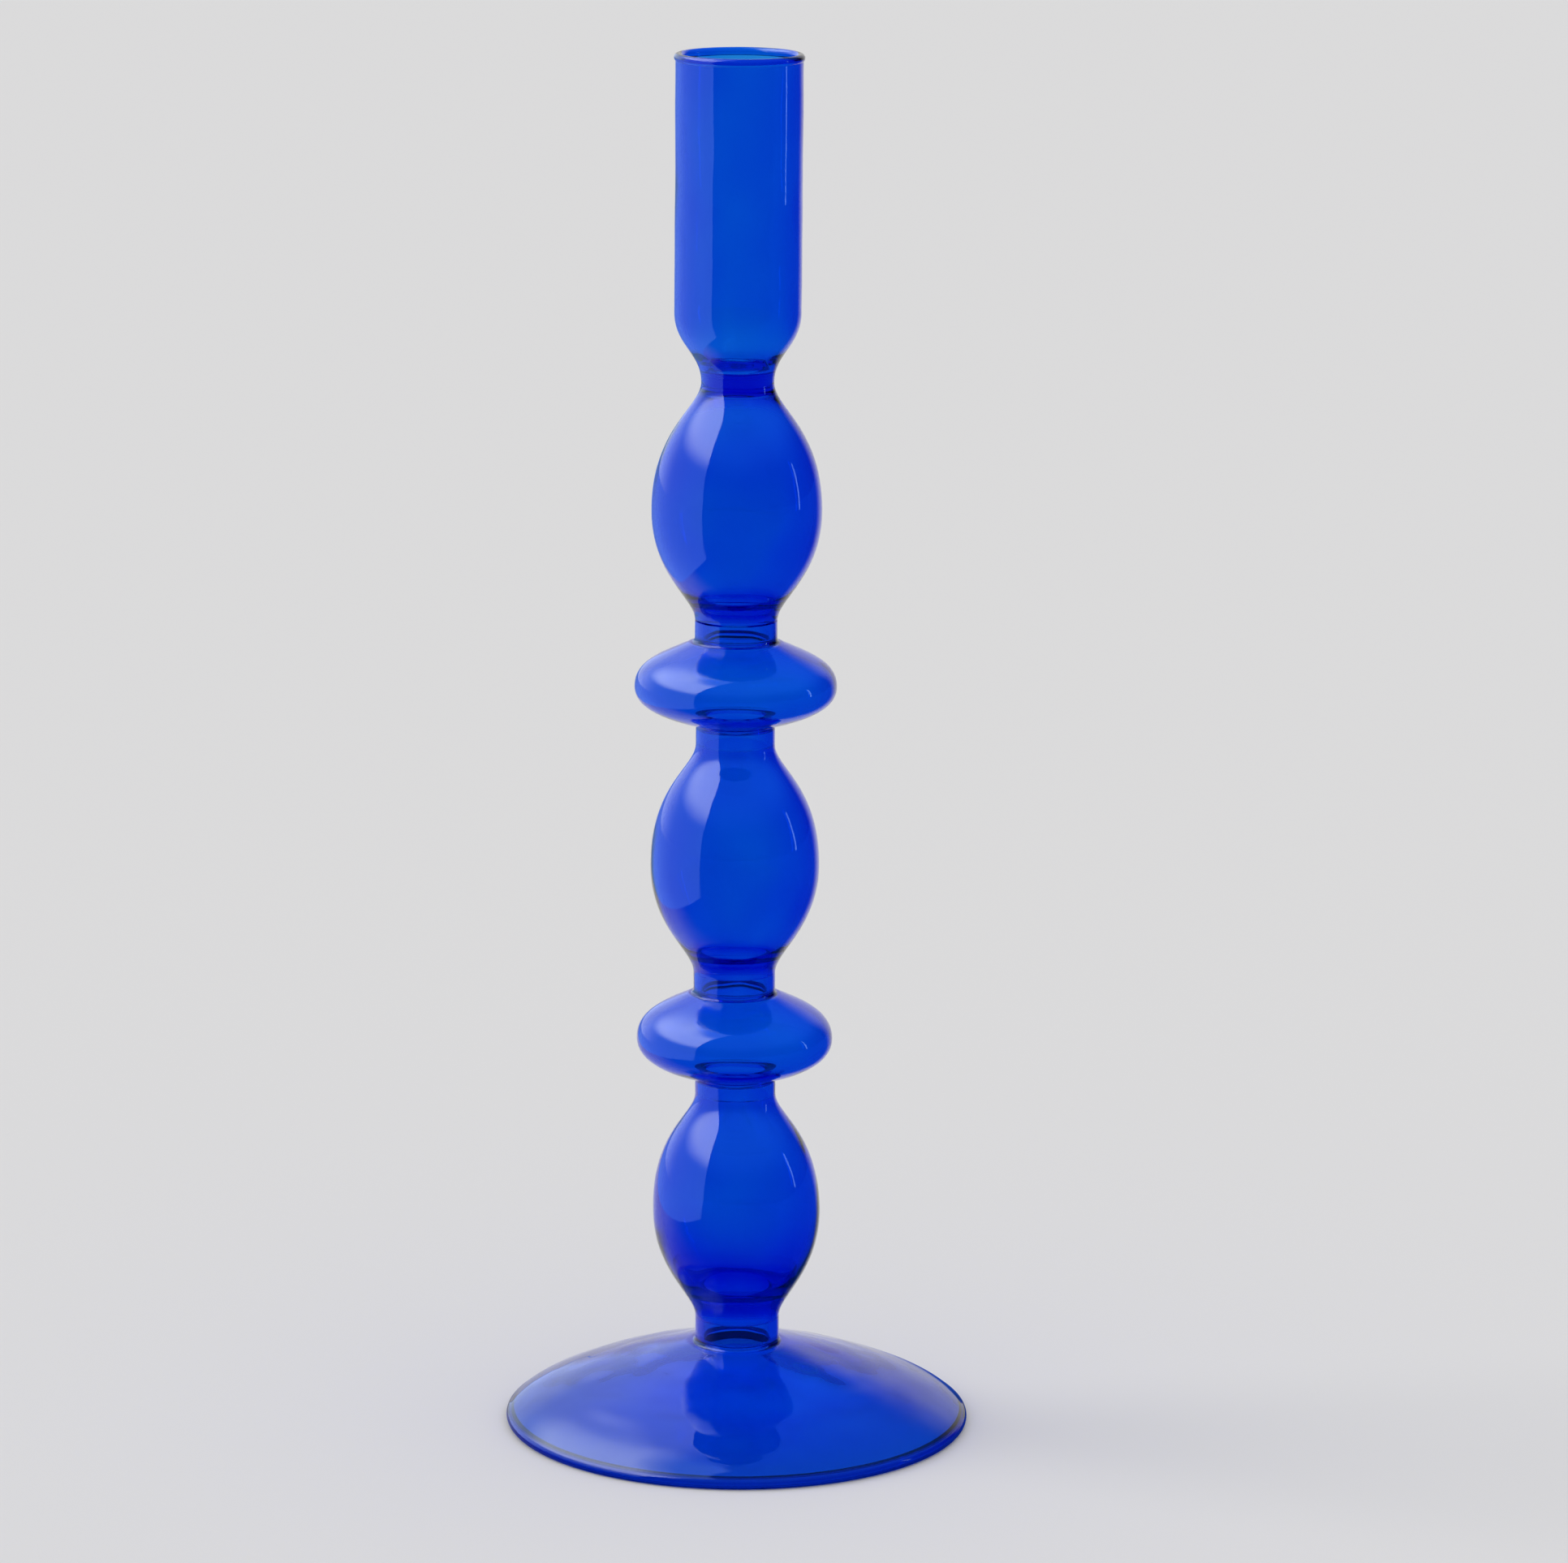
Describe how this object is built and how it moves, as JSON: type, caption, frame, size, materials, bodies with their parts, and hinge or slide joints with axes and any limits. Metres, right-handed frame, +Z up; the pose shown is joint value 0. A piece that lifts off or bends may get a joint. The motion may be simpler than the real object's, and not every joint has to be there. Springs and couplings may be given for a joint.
{
  "type": "glass candlestick",
  "caption": "Tall blue glass candlestick: a straight candle cup on a stem of blown bulbs and flat discs, on a wide domed foot.",
  "frame": {"origin": "on the table, at the centre of the foot's rest face", "axes": "+Z up along the candlestick's axis, towards the candle; X and Y are equal"},
  "size_m": [0.0972, 0.0972, 0.288],
  "materials": {
    "blue_glass": "transparent cobalt-blue borosilicate glass, fire-polished and glossy, with faint hand-worked ripples"
  },
  "bodies": {
    "root": {"cup_rim_bead": "blue_glass", "candle_cup": "blue_glass", "cup_waist_plug": "blue_glass", "upper_bulb": "blue_glass", "upper_bulb_neck": "blue_glass", "upper_disc_top_seal": "blue_glass", "upper_disc": "blue_glass", "upper_disc_bottom_seal": "blue_glass", "upper_disc_neck": "blue_glass", "middle_bulb": "blue_glass", "middle_bulb_neck": "blue_glass", "lower_disc_top_seal": "blue_glass", "lower_disc": "blue_glass", "lower_disc_bottom_seal": "blue_glass", "lower_disc_neck": "blue_glass", "lower_bulb": "blue_glass", "foot_neck": "blue_glass", "foot_seal": "blue_glass", "foot_dome": "blue_glass", "foot_rim_bead": "blue_glass"}
  },
  "joints": []
}
